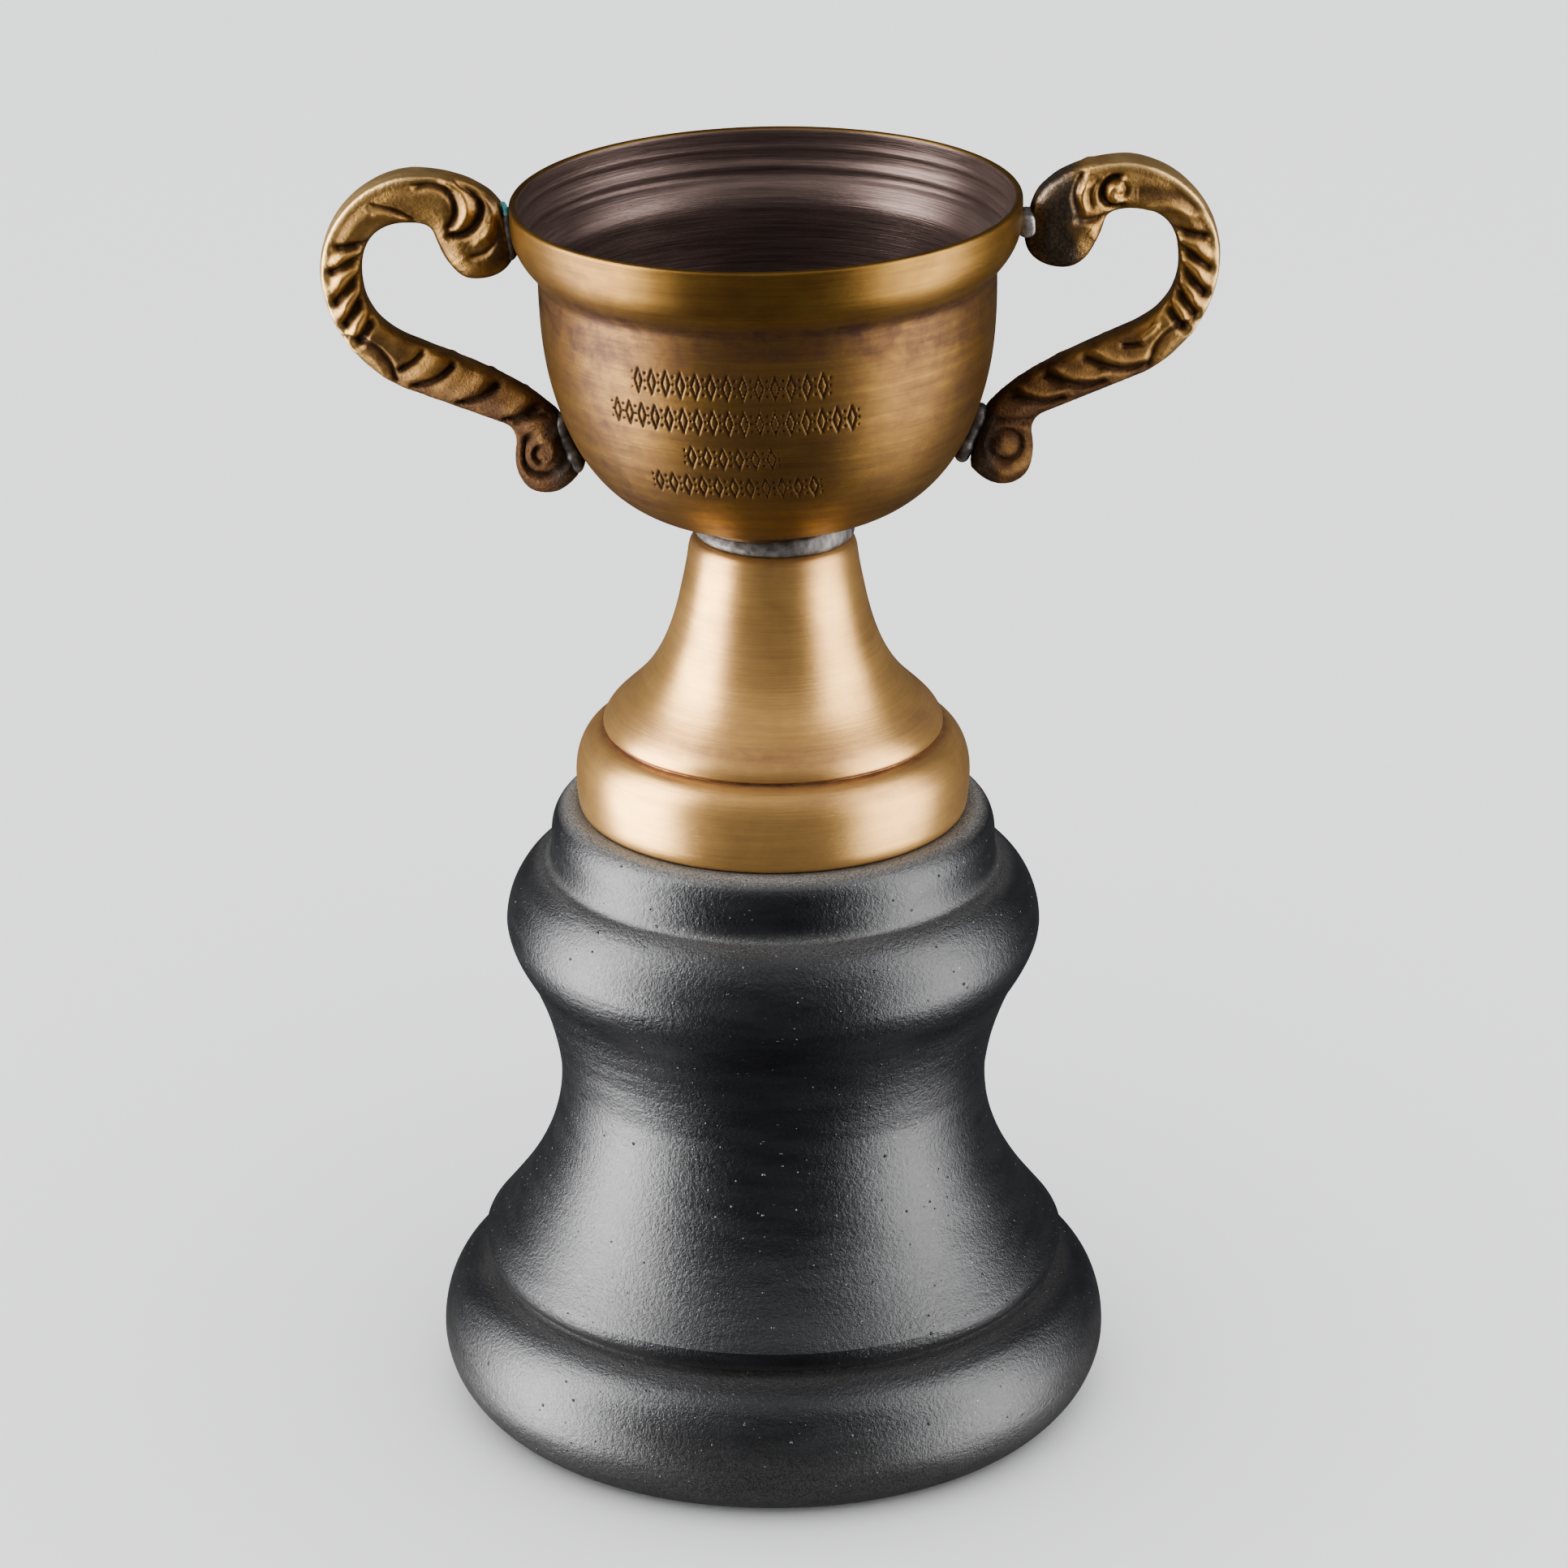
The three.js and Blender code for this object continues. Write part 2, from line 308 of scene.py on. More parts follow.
def spun_brass(name, bright, mid, brown, roughness, metal_level):
    """Lathe-spun brass under an uneven brown tarnish. The vector attribute lathe holds the position round
    the axis and the distance along the profile; patina, inside and mark are masks from 0 to 1, and patina
    also carries painted shade."""
    look, tree = new_material(name)
    lathe = attribute(tree, "lathe", "Vector")
    patina = attribute(tree, "patina")
    inside = attribute(tree, "inside")
    mark = attribute(tree, "mark")
    lines = noise(tree, lathe, 1.0, 5.0, 0.7, stretch=(10, 10, 0.22))
    hairlines = noise(tree, lathe, 1.0, 3.0, 0.7, stretch=(5, 5, 0.06))
    streaks = noise(tree, lathe, 1.0, 4.0, 0.6, stretch=(16, 16, 1.3))
    cloud = noise(tree, lathe, 0.13, 4.0, 0.6, distortion=0.5)
    blotch = noise(tree, lathe, 0.45, 5.0, 0.6, distortion=0.4)
    tone = scaled(tree, lines, 0.9, maths(tree, "MULTIPLY", streaks, 0.9))
    tone = maths(tree, "ADD", tone, scaled(tree, cloud, 1.3, -1.05), clamp=True)
    colour = mix_colours(tree, tone, bright, mid)
    uneven = scaled(tree, blotch, 1.3, scaled(tree, streaks, 1.0, -0.35))
    deep = maths(tree, "MULTIPLY", patina, uneven, clamp=True)
    colour = mix_colours(tree, deep, colour, brown)
    rings = scaled(tree, streaks, 1.0, -0.45)
    rings = scaled(tree, lines, 0.9, rings, clamp=True)
    colour = mix_colours(tree, inside, colour, mix_colours(tree, rings, INNER_DARK, INNER_WARM))
    colour = mix_colours(tree, mark, colour, MARK)
    rough = scaled(tree, hairlines, 0.16, roughness - 0.08)
    rough = scaled(tree, deep, 0.10, rough)
    rough = scaled(tree, mark, 0.20, rough)
    rough = scaled(tree, inside, -0.07, rough)
    normal = bump(tree, lines, 0.022, bump(tree, hairlines, 0.010))
    normal = bump(tree, maths(tree, "MULTIPLY", inside, lines), 0.035, normal)
    # Tarnish is an oxide, so it is less of a mirror than the metal; the painted shade in the same mask is
    # dulled with it.
    metal = scaled(tree, maths(tree, "MAXIMUM", deep, mark), -0.25, metal_level)
    metal = scaled(tree, inside, -0.28, metal)
    tangent = node(tree, "Tangent", direction_type="RADIAL", axis="Z").outputs[0]
    finish_material(tree, {"Base Color": colour, "Metallic": metal, "Roughness": rough, "Normal": normal,
                           "Anisotropic": 0.4, "Anisotropic Rotation": 0.25, "Tangent": tangent})
    return look


def cast_brass(name):
    """Brown cast brass: black in its recesses, yellow where hands and cloths have rubbed it. relief is
    above 0 in grooves and below 0 on ridges, edge is 1 at the outer border, tinned is 1 under solder."""
    look, tree = new_material(name)
    place_on = attribute(tree, "cast", "Vector")
    relief = attribute(tree, "relief")
    edge = attribute(tree, "edge")
    tinned = attribute(tree, "tinned")
    low = attribute(tree, "low")
    grit = noise(tree, place_on, 2.2, 5.0, 0.6)
    cloud = noise(tree, place_on, 0.30, 4.0, 0.6)
    pits = noise(tree, place_on, 3.4, 5.0, 0.75)
    worn = scaled(tree, relief, -1.0, scaled(tree, cloud, 2.0, -0.50))
    worn = scaled(tree, grit, 0.5, worn)
    worn = scaled(tree, low, -0.80, worn, clamp=True)
    colour = mix_colours(tree, worn, CAST_BROWN, CAST_YELLOW)
    rubbed = maths(tree, "MULTIPLY", edge, ramp(tree, cloud, (0.2, 0.5), (0.65, 1.0)))
    colour = mix_colours(tree, rubbed, colour, CAST_EDGE)
    soot = scaled(tree, grit, 1.3, -0.92)
    soot = scaled(tree, relief, 1.3, soot, clamp=True)
    soot = maths(tree, "MULTIPLY", soot, 0.85)
    colour = mix_colours(tree, soot, colour, CAST_BLACK)
    grey = maths(tree, "MULTIPLY", tinned, ramp(tree, grit, (0.3, 0.45), (0.6, 1.0)))
    colour = mix_colours(tree, grey, colour, TINNED)
    rough = scaled(tree, grit, 0.24, scaled(tree, soot, 0.25, 0.25))
    rough = scaled(tree, low, 0.07, rough)
    pitted = scaled(tree, low, 1.2, 0.3)
    depth = maths(tree, "MULTIPLY", pits, scaled(tree, tinned, -0.3, pitted))
    normal = bump(tree, depth, 0.20, bump(tree, grit, 0.07))
    metal = scaled(tree, soot, -0.25, 0.90)
    finish_material(tree, {"Base Color": colour, "Metallic": metal, "Roughness": rough, "Normal": normal})
    return look


def soft_solder(name, dark, pale, roughness, lumpy):
    """Grey solder, brighter where it ran smooth, with green copper salts where the mask green is 1."""
    look, tree = new_material(name)
    place_on = attribute(tree, "cast", "Vector")
    green = attribute(tree, "green")
    lumps = noise(tree, place_on, 0.9, 4.0, 0.55)
    scrapes = noise(tree, place_on, 2.6, 4.0, 0.65, stretch=(1.5, 1.5, 0.7))
    colour = mix_colours(tree, ramp(tree, lumps, (0.35, 0.0), (0.65, 1.0)), dark, pale)
    colour = mix_colours(tree, green, colour, VERDIGRIS)
    rough = scaled(tree, scrapes, 0.30, roughness)
    rough = scaled(tree, green, 0.40, rough)
    metal = scaled(tree, green, -0.7, 0.70)
    normal = bump(tree, lumps, lumpy, bump(tree, scrapes, 0.05))
    finish_material(tree, {"Base Color": colour, "Metallic": metal, "Roughness": rough, "Normal": normal})
    return look


def specks(tree, vector, per_mm, widest, narrowest):
    """Round dots from 0 to 1, one in each cell of a loose pattern, of different sizes in mm."""
    cells = node(tree, "TexVoronoi", {"Vector": vector, "Scale": per_mm, "Randomness": 1.0}, feature="F1")
    chance = node(tree, "TexWhiteNoise", {"Vector": cells.outputs["Position"]}).outputs["Value"]
    size = scaled(tree, chance, (widest + narrowest) * per_mm, -narrowest * per_mm)
    inside = maths(tree, "SUBTRACT", size, cells.outputs["Distance"])
    return maths(tree, "MULTIPLY", inside, 6.0 / per_mm, clamp=True)


def black_paint(name):
    """Satin black paint over turned wood: sparse pimples, a fine skin and a little dust."""
    look, tree = new_material(name)
    lathe = attribute(tree, "lathe", "Vector")
    dust = attribute(tree, "dust")
    skin = noise(tree, lathe, 1.9, 4.0, 0.6)
    fine = noise(tree, lathe, 5.0, 3.0, 0.6)
    grain = noise(tree, lathe, 0.35, 4.0, 0.55, stretch=(3, 3, 0.7))
    pimples = specks(tree, lathe, 0.75, 0.24, 0.10)
    crumbs = specks(tree, lathe, 1.0, 0.15, 0.10)
    colour = mix_colours(tree, ramp(tree, grain, (0.3, 0.0), (0.7, 1.0)), BLACK_PAINT, GREY_PAINT)
    film = maths(tree, "MULTIPLY", dust, ramp(tree, fine, (0.35, 0.1), (0.65, 1.0)))
    film = maths(tree, "MAXIMUM", maths(tree, "MULTIPLY", film, 0.5), maths(tree, "MULTIPLY", crumbs, 0.8))
    colour = mix_colours(tree, film, colour, DUST)
    rough = scaled(tree, skin, 0.18, scaled(tree, grain, 0.08, 0.18))
    rough = scaled(tree, dust, 0.35, rough)
    normal = bump(tree, fine, 0.045, bump(tree, skin, 0.08, bump(tree, grain, 0.10)))
    normal = bump(tree, pimples, 0.12, normal)
    finish_material(tree, {"Base Color": colour, "Roughness": rough, "Normal": normal,
                           "Specular IOR Level": 0.85, "IOR": 1.6})
    return look


def felt_cloth(name):
    look, tree = new_material(name)
    place_on = attribute(tree, "lathe", "Vector")
    fibres = noise(tree, place_on, 1.6, 6.0, 0.75, distortion=1.5)
    colour = mix_colours(tree, fibres, (0.006, 0.006, 0.006), (0.03, 0.03, 0.03))
    normal = bump(tree, fibres, 0.25)
    finish_material(tree, {"Base Color": colour, "Roughness": 0.95, "Normal": normal, "Sheen Weight": 0.4})
    return look


def plated_steel(name):
    look, tree = new_material(name)
    place_on = node(tree, "TexCoord").outputs["Object"]
    cloud = noise(tree, place_on, 600.0, 4.0, 0.6)
    scratch = noise(tree, place_on, 2500.0, 3.0, 0.6, stretch=(1, 1, 4))
    colour = mix_colours(tree, cloud, (0.42, 0.42, 0.43), (0.60, 0.60, 0.61))
    rough = scaled(tree, scratch, 0.25, 0.22)
    normal = bump(tree, scratch, 0.01)
    finish_material(tree, {"Base Color": colour, "Metallic": 1.0, "Roughness": rough, "Normal": normal})
    return look


# ---- colours, linear RGB ----
CUP_BRIGHT = (0.38, 0.235, 0.080)
CUP_MID = (0.215, 0.122, 0.046)
CUP_BROWN = (0.095, 0.050, 0.032)
INNER_DARK = (0.065, 0.045, 0.041)
INNER_WARM = (0.235, 0.172, 0.152)
MARK = (0.05, 0.028, 0.016)
FOOT_BRIGHT = (0.70, 0.445, 0.190)
FOOT_MID = (0.48, 0.295, 0.135)
FOOT_BROWN = (0.17, 0.085, 0.062)
CAST_YELLOW = (0.52, 0.325, 0.135)
CAST_BROWN = (0.17, 0.098, 0.056)
CAST_EDGE = (0.66, 0.47, 0.24)
CAST_BLACK = (0.035, 0.023, 0.015)
TINNED = (0.105, 0.095, 0.088)
SOLDER_DARK = (0.22, 0.205, 0.195)
SOLDER_PALE = (0.42, 0.395, 0.375)
WIPED_DARK = (0.115, 0.107, 0.102)
WIPED_PALE = (0.24, 0.225, 0.213)
VERDIGRIS = (0.035, 0.115, 0.120)
BLACK_PAINT = (0.0085, 0.0085, 0.0095)
GREY_PAINT = (0.016, 0.016, 0.018)
DUST = (0.52, 0.50, 0.46)

looks = {
    "cup": spun_brass("cup_brass", CUP_BRIGHT, CUP_MID, CUP_BROWN, 0.39, 0.93),
    "foot": spun_brass("foot_brass", FOOT_BRIGHT, FOOT_MID, FOOT_BROWN, 0.33, 0.84),
    "cast": cast_brass("cast_brass"),
    "solder": soft_solder("soft_solder", SOLDER_DARK, SOLDER_PALE, 0.10, 0.03),
    "wiped": soft_solder("wiped_solder", WIPED_DARK, WIPED_PALE, 0.36, 0.05),
    "paint": black_paint("black_paint"),
    "felt": felt_cloth("black_felt"),
    "steel": plated_steel("plated_steel"),
}


# ---- wooden base ----
def base_profile():
    bottom = 0.7
    outside = outline((36.5, bottom), [
        (36.7, bottom + 0.05, 36.8, bottom + 0.15, 36.95, bottom + 0.3),
        (38.9, 2.3, BOTTOM_ROLL, 5.2, BOTTOM_ROLL, 8.0),
        (BOTTOM_ROLL, 13.0, 38.0, 16.8, 33.8, 17.1),
        (33.5, 17.15, 33.5, 17.35, 33.8, 17.5),  # groove
        (34.7, 18.0, LIP, 19.0, LIP, 20.5),
        (31.5, 25.2, 25.3, 32.5, WAIST, 43.0),  # bell
        (26.2, 47.0, 27.3, 51.0, 29.2, 55.0),
        (30.4, 57.0, 31.9, 59.2, UPPER_ROLL, 61.8),
        (UPPER_ROLL, 65.6, 29.6, 68.9, 27.6, 69.6),
        (26.8, 69.8, BASE_COLLAR, 71.2, BASE_COLLAR, 73.0),
        (BASE_COLLAR, 75.2, 25.6, BASE_TOP, 24.0, BASE_TOP),
    ])
    bore = [(2.8, BASE_TOP), (2.8, 9.0), (9.0, 9.0), (9.0, bottom), (36.5, bottom)]
    return np.vstack([outside, outline((24.0, BASE_TOP), bore, 3.0)[1:]])


def wooden_base():
    def uneven(radius, height, angle):
        low = 0.06 * ripple(3 * np.cos(angle), 3 * np.sin(angle), 0.11 * height, seed=3)
        fine = 0.025 * ripple(7 * np.cos(angle), 7 * np.sin(angle), 0.9 * height, seed=5)
        # Nicks along the lower edges of the two rolls.
        around = angle * radius
        nick = ease(0.93, 1.0, np.sin(2.1 * around)) * ease(0.1, 0.5, ripple(0.7 * around, seed=7))
        edges = near(height, 57.5, 1.2) + near(height, 3.4, 1.4)
        return (low + fine) * ease(24, 27, radius) - 0.16 * nick * edges

    def dust(radius, height, angle):
        near_foot = 0.7 * (1 - ease(24.4, 26.2, radius)) * ease(22, 23.2, radius) * (height > 76)
        low = 0.22 * (1 - ease(2, 16, height))
        groove = 0.30 * near(height, 17.4, 0.8)
        under_collar = 0.25 * near(height, 69.7, 0.8)
        return {"dust": near_foot + low + groove + under_collar}

    made = turned("wooden_base", base_profile(), round_steps(288), uneven, dust)
    place(made, looks["paint"], "black_wood", "wooden_base")


# ---- felt ----
def felt_pad():
    profile = outline((0, 0), [(35.0, 0), (35.3, 0.05, 35.4, 0.2, 35.4, 0.4), (35.3, 0.68), (0, 0.69)], 1.2)
    made = turned("felt_pad", profile, round_steps(160))
    place(made, looks["felt"], "felt", "felt_pad")


# ---- brass foot ----
def foot():
    outside = outline((22.35, BASE_TOP), [
        (22.9, BASE_TOP, 23.1, 76.85, 23.15, 77.2),
        (23.4, 78.4, BAND, 79.6, BAND, 81.0),  # bottom band
        (BAND, 84.2, 22.0, 86.4, 20.1, 86.6),
        (19.8, 86.65, 19.8, 86.8, 20.05, 86.9),  # V groove
        (20.4, 87.1, 20.2, 87.9, 19.5, 88.8),  # lip of the cone
        (17.2, 91.6, 13.2, 93.0, 11.0, 103.5),  # cone
        (10.6, 105.4, 10.2, 107.2, 10.0, 109.0),
        (9.8, 110.2, 9.4, FOOT_TOP, 8.3, FOOT_TOP),
        (0, FOOT_TOP),
    ], 0.3)
    inside = (outside - FOOT_SHEET * sideways(outside))[::-1]
    inside = inside[inside[:, 1] > BASE_TOP + 0.2]
    inside[0] = (0, FOOT_TOP - FOOT_SHEET)

    def uneven(radius, height, angle):
        return 0.035 * ripple(2 * np.cos(angle), 2 * np.sin(angle), 0.12 * height, seed=11)

    def masks(radius, height, angle):
        # Painted shade: a dark line along the V groove.
        groove = near(height, 86.75, 0.35)
        flare = near(height, 89.6, 1.5) + 0.6 * near(height, 85.2, 1.0)
        mottle = ripple(3 * np.cos(angle), 3 * np.sin(angle), 0.5 * height, seed=13)
        left = 0.5 - 0.5 * np.cos(angle)
        stain_and_shade = groove + 0.60 * flare * ease(-0.7, 0.5, mottle) + 0.35 * ease(106.5, 110.5, height)
        stain_and_shade = stain_and_shade + 0.30 * left * ease(90, 94, height) * ease(-0.4, 0.6, mottle)
        return {"patina": np.clip(stain_and_shade, 0, 1), "inside": 0 * stain_and_shade, "mark": 0 * stain_and_shade}

    made = turned("foot", np.vstack([inside, outside]), round_steps(224), uneven, masks)
    place(made, looks["foot"], "foot_brass", "foot")


# ---- brass cup ----
# Rows of engraving on the outer wall: height of the middle, width and height of each.
ENGRAVED_ROWS = ((137.2, 23.5, 3.0), (132.9, 30.0, 3.0), (128.3, 11.0, 2.7), (124.4, 20.0, 2.7))
ENGRAVING_CENTRE = FRONT + math.radians(-10)
ENGRAVING_DEPTH = 0.12
STROKE = 0.2  # width of an engraved line
LOZENGE_PITCH = 1.8
CUP_OUTSIDE = ((8.5, NECK), [
    (8.9, NECK, 8.9, 112.5, 8.9, 112.8),
    (8.9, 113.5),
    (14.5, 114.4, 21.3, 116.8, 24.6, 127.3),  # belly
    (26.0, 131.6, WALL, 135.4, WALL, 142.9),
    (27.0, 144.4, 28.6, 145.0, 29.4, 147.8),  # collar
    (29.6, 148.8, RIM_RADIUS, 150.0, RIM_RADIUS, RIM_HEIGHT),
])


def engraved(radius, height, angle):
    """1 inside the cut lines of the ornament: rows of narrow lozenges with three dots between them."""
    cut = np.zeros_like(radius)
    for middle, width, tall in ENGRAVED_ROWS:
        along = (angle - ENGRAVING_CENTRE) * radius + width / 2
        up = (height - middle) / (tall / 2)
        count = round(width / LOZENGE_PITCH)
        pitch = width / count
        cell = np.mod(along, pitch) - pitch / 2
        lozenge = np.abs(np.abs(cell) / 0.52 + np.abs(up) - 0.92) * 0.45
        side = pitch / 2 - np.abs(cell)
        dots = np.minimum.reduce([np.hypot(side, (up - at) * tall / 2) for at in (-0.62, 0, 0.62)]) - 0.06
        distance = np.minimum(lozenge, dots)
        here = (along > 0) & (along < width) & (np.abs(up) < 1.1)
        cut = np.maximum(cut, np.where(here, 1 - ease(STROKE / 2 - 0.06, STROKE / 2 + 0.06, distance), 0))
    return cut


def cup_outside():
    """The outer wall, with points close together only where it is engraved."""
    fine = outline(*CUP_OUTSIDE, 0.155)
    coarse = outline(*CUP_OUTSIDE, 0.6)
    engraved_part = fine[(fine[:, 1] > 122.6) & (fine[:, 1] < 139.2)]
    return np.vstack([coarse[coarse[:, 1] < 122.5], engraved_part, coarse[coarse[:, 1] > 139.3]])


def cup_inside():
    """The inner wall from the lip down, with points closer together at the beads inside the collar."""
    bowl = outline(*CUP_OUTSIDE, 0.9)
    in_collar = outline(*CUP_OUTSIDE, 0.155)
    in_collar = in_collar[in_collar[:, 1] > 142][::2]
    stepped = np.vstack([bowl[bowl[:, 1] < 142], in_collar])
    inside = (stepped - CUP_SHEET * sideways(stepped))[::-1]
    return inside[(inside[:, 1] > NECK + CUP_SHEET + 1.5) & (inside[:, 1] < RIM_HEIGHT)]


def cup():
    outside = cup_outside()
    inside = cup_inside()
    half = CUP_SHEET / 2
    turn = np.linspace(0, math.pi, 9)[1:]
    lip = np.column_stack([RIM_RADIUS - half + half * np.cos(turn), RIM_HEIGHT + half * np.sin(turn)])
    floor_height = NECK + CUP_SHEET + 0.9
    bottom = outline(inside[-1], [(8.0, floor_height + 0.05, 7.0, floor_height, 0, floor_height)], 0.9)[1:]
    profile = np.vstack([[0, NECK], [7.0, NECK], outside, lip, inside, bottom])
    outer_until = 1 + len(outside)
    engraved_side = np.radians(np.arange(-44.8, 26.0, 0.32))
    plain_side = np.radians(np.arange(26.9, 314.0, 1.95))
    angles = FRONT + np.concatenate([engraved_side, plain_side])

    def on_outside(radius):
        mask = np.zeros_like(radius)
        mask[:outer_until] = 1
        return mask

    def uneven(radius, height, angle):
        dents = 0.05 * ripple(2 * np.cos(angle), 2 * np.sin(angle), 0.10 * height, seed=17)
        # Two beads and a groove run round the inside of the collar.
        bead = 0.30 * near(height, 147.2, 0.32)
        bead = bead - 0.22 * near(height, 146.2, 0.4)
        bead = bead + 0.16 * near(height, 149.4, 0.22)
        outer = on_outside(radius)
        return dents - ENGRAVING_DEPTH * engraved(radius, height, angle) * outer + bead * (1 - outer)

    def masks(radius, height, angle):
        outer = on_outside(radius)
        turn = (2.2 * np.cos(angle), 2.2 * np.sin(angle))
        patches = ripple(*turn, 0.12 * height, seed=19)
        under_collar = ease(136.5, 142.5, height + 1.5 * patches) * (1 - ease(143.2, 145.2, height))
        # Painted shade: a darker band along the crease under the collar.
        step = near(height, 143.6, 0.8)
        stain_and_shade = 0.50 + 0.40 * under_collar + 0.5 * step
        stain_and_shade = stain_and_shade + 0.30 * (1 - ease(114.5, 117.5, height)) - 0.42 * ease(144, 146.5, height)
        stain_and_shade = stain_and_shade + 0.20 * ease(0.0, 0.7, patches)
        # A browner patch on the left of the front: painted shade that dims the reflection of the left box
        # there.
        from_front = np.degrees(np.arctan2(np.sin(angle - FRONT), np.cos(angle - FRONT)))
        stain_and_shade = stain_and_shade + 0.35 * near(from_front, -50, 16)
        inner = np.zeros_like(radius)
        inner[outer_until + 6:] = 1
        mark = engraved(radius, height, angle) * outer
        return {"patina": np.clip(stain_and_shade, 0, 1) * outer, "inside": inner, "mark": mark}

    made = turned("cup", profile, angles, uneven, masks, leaning)
    place(made, looks["cup"], "cup_brass", "cup")


# ---- cast handles ----
# Flat outline, x outwards from the axis of the cup and z up, in the upright frame of the cup.
HANDLE_OUTLINE = ((29.9, 149.0), [
    (30.1, 153.2, 35.3, CROWN_HEIGHT, 40.5, CROWN_HEIGHT),  # crown
    (46.3, CROWN_HEIGHT, BOW_REACH, 150.6, BOW_REACH, 144.0),  # bow, outer side
    (BOW_REACH, 138.4, 48.3, 132.5, 42.9, 129.9),
    (31.4, 125.3),  # lower arm, outer side
    (30.3, 124.9, 29.9, 123.8, 30.0, 122.6),
    (30.6, 119.6, 29.6, 116.6, 26.6, 116.6),  # scroll
    (25.0, 116.6, 23.8, 117.6, 22.8, 118.8),
    (23.0, 121.4, 24.0, 124.2, 25.0, 126.1),
    (29.2, 130.6, 35.2, 132.7, 41.4, 135.5),  # lower arm, inner side
    (45.0, 137.0, 47.1, 139.6, 47.1, 143.4),  # bow, inner side
    (47.1, 147.9, 45.1, 149.8, 41.5, 149.8),
    (40.2, 149.8, 39.0, 149.6, 38.6, 148.6),
    (37.8, 146.0, 36.4, 142.9, 33.9, 142.9),  # volute
    (31.6, 142.9, 29.7, 144.0, 29.3, 146.0),
    (29.9, 149.0),
])
HANDLE_HALF_DEPTH = 2.3
BOW_CENTRE = (40.6, 142.9)
SCROLL_EYE = (26.8, 121.8)
VOLUTE = (33.8, 146.6)
LEAF = (39.0, 151.6)  # the leaves at the top curl round this point
CORNER = (49.5, 130.6)  # and the one at the turn of the lower arm round this
RAISED_RIM_CENTRE = (38.5, 141.5)  # the bow has a raised rim outside a circle round this point
TINNED_TO = {1: 36.0, -1: 31.8}  # how far out solder has run over the end of each upper arm
ARM_START = (41.6, 130.3)  # outer side of the lower arm, where it leaves the bow
ARM_SLOPE = math.radians(22.5)


def polar(centre, radius, degrees):
    angle = math.radians(degrees)
    return (centre[0] + radius * math.cos(angle), centre[1] + radius * math.sin(angle))


def arc(centre, radius, start, end, spread=0.0):
    """Points along an arc, angles in degrees; the radius has grown by spread at its end."""
    count = max(3, round(abs(end - start) / 30) + 1)
    return [polar(centre, radius + spread * t, start + (end - start) * t) for t in np.linspace(0, 1, count)]


def on_arm(along, across):
    """A point on the lower arm: along it towards the cup, and across it from its outer side."""
    c, s = math.cos(ARM_SLOPE), math.sin(ARM_SLOPE)
    return (ARM_START[0] - along * c - across * s, ARM_START[1] - along * s + across * c)


# Carved lines are (depth, width, points): a groove is deeper than 0 and a raised line is below 0.
def rope(turns):
    """Grooves that wind round the bow, each from an angle on its outer side to one on its inner side,
    and the raised strands between them."""
    strokes = []
    for outer, inner in turns:
        middle = polar(BOW_CENTRE, 7.8, (outer + inner) / 2)
        strokes.append((0.78, 0.52, polar(BOW_CENTRE, 10.2, outer), middle, polar(BOW_CENTRE, 6.0, inner)))
    for (outer, inner), (next_outer, next_inner) in zip(turns, turns[1:]):
        start = (outer + next_outer) / 2
        end = (inner + next_inner) / 2
        middle = polar(BOW_CENTRE, 8.0, (start + end) / 2)
        strokes.append((-0.34, 0.58, polar(BOW_CENTRE, 9.9, start), middle, polar(BOW_CENTRE, 6.2, end)))
    return strokes


def corner_leaf():
    grooves = [(0.5, 0.36, *arc(CORNER, radius, 93, 180)) for radius in (6.0, 3.4)]
    return grooves + [(-0.2, 0.42, *arc(CORNER, 4.7, 97, 175))]


def gadroons():
    """Broad lobes across the lower arm, parted by short curved grooves."""
    def across_arm(at, start, end):
        return [on_arm(at + 3.5 * t * (2 - t), 5 * t) for t in np.linspace(start, end, 4)]

    strokes = [(0.65, 0.42, *across_arm(-3.9, 0.3, 1))]
    for at in (0.0, 5.75, 11.5):
        strokes.append((0.75, 0.45, *across_arm(at, 0, 1)))
        strokes.append((-0.32, 0.85, *across_arm(at - 2.0, 0.2, 0.9)))
    return strokes


def flutes():
    """Long shallow grooves down the lower arm, each a parabola with a ridge over it."""
    def parabola(at, lift):
        return [on_arm(at + run - 1.6, lift + 0.1 * run**2) for run in np.linspace(6, 0, 5)]

    strokes = []
    for at in (0.0, 5.1, 10.2):
        strokes.append((0.62, 0.46, *parabola(at, 0.3)))
        strokes.append((-0.42, 0.50, *parabola(at - 0.8, 1.3)))
    return strokes


def palmette():
    """The end of the upper arm on one face: crescents one inside the other, down to the volute."""
    return [
        (0.60, 0.42, *arc(LEAF, 3.1, 65, 222)),
        (0.85, 0.50, *arc((36.2, 151.7), 3.2, 105, 275)),
        (-0.42, 0.52, *arc((37.6, 151.9), 3.1, 100, 232)),
        (-0.30, 0.45, *arc((34.6, 150.6), 3.0, 120, 250)),
        (0.35, 0.35, *arc((34.3, 149.2), 3.2, 160, 268)),
        (-0.30, 1.20, *arc(VOLUTE, 2.1, -25, -105)),
        (0.45, 0.34, *arc(BOW_CENTRE, 10.6, 63, 90, -3.4)),
        (-0.25, 0.35, *arc(BOW_CENTRE, 9.5, 62, 90, -2.9)),
    ]


